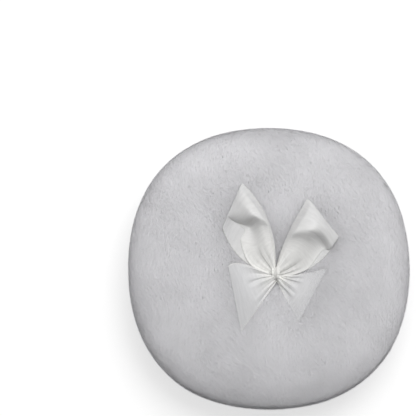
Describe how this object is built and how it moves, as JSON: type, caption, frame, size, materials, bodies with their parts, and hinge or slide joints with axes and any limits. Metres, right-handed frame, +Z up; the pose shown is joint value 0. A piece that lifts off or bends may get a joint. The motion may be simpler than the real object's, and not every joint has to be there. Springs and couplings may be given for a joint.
{
  "type": "powder puff",
  "caption": "Round white plush powder puff with a satin ribbon bow sewn to the middle of its top, filled with foam and fibre.",
  "frame": {"origin": "middle of the flattened face that the puff rests on, below the middle of its outline", "axes": "+Z up through the cushion, +Y from the knot of the bow towards its two loops, +X to the right of them"},
  "size_m": [0.1176, 0.1176, 0.0482],
  "materials": {
    "plush": "matte",
    "satin": "satin",
    "thread": "satin",
    "wadding": "matte",
    "foam": "matte"
  },
  "bodies": {
    "puff": {"top_plush_cover": "plush", "bottom_plush_cover": "plush", "rim_seam_thread": "thread", "top_wadding": "wadding", "bottom_wadding": "wadding", "foam_core": "foam", "bow_gather": "satin", "bow_binding_thread": "thread", "bow_stitch_thread": "thread"},
    "left_loop": {"left_loop": "satin"},
    "right_loop": {"right_loop": "satin"},
    "left_tail": {"left_tail": "satin"},
    "right_tail": {"right_tail": "satin"}
  },
  "joints": [
    {"name": "left_loop_lift", "type": "hinge", "parent": "puff", "child": "left_loop", "pos_m": [0.00225, 0.00458, 0.04], "axis": [0.5429, 0.8398, 0], "range_deg": [0, 50]},
    {"name": "right_loop_lift", "type": "hinge", "parent": "puff", "child": "right_loop", "pos_m": [0.00392, 0.00323, 0.04], "axis": [0.4245, -0.9054, 0], "range_deg": [0, 50]},
    {"name": "left_tail_lift", "type": "hinge", "parent": "puff", "child": "left_tail", "pos_m": [0.0026, -0.006, 0.0378], "axis": [-0.8966, 0.4393, 0.055], "range_deg": [0, 60]},
    {"name": "right_tail_lift", "type": "hinge", "parent": "puff", "child": "right_tail", "pos_m": [0.004, -0.0057, 0.0377], "axis": [-0.9682, -0.2451, -0.05], "range_deg": [0, 60]}
  ]
}
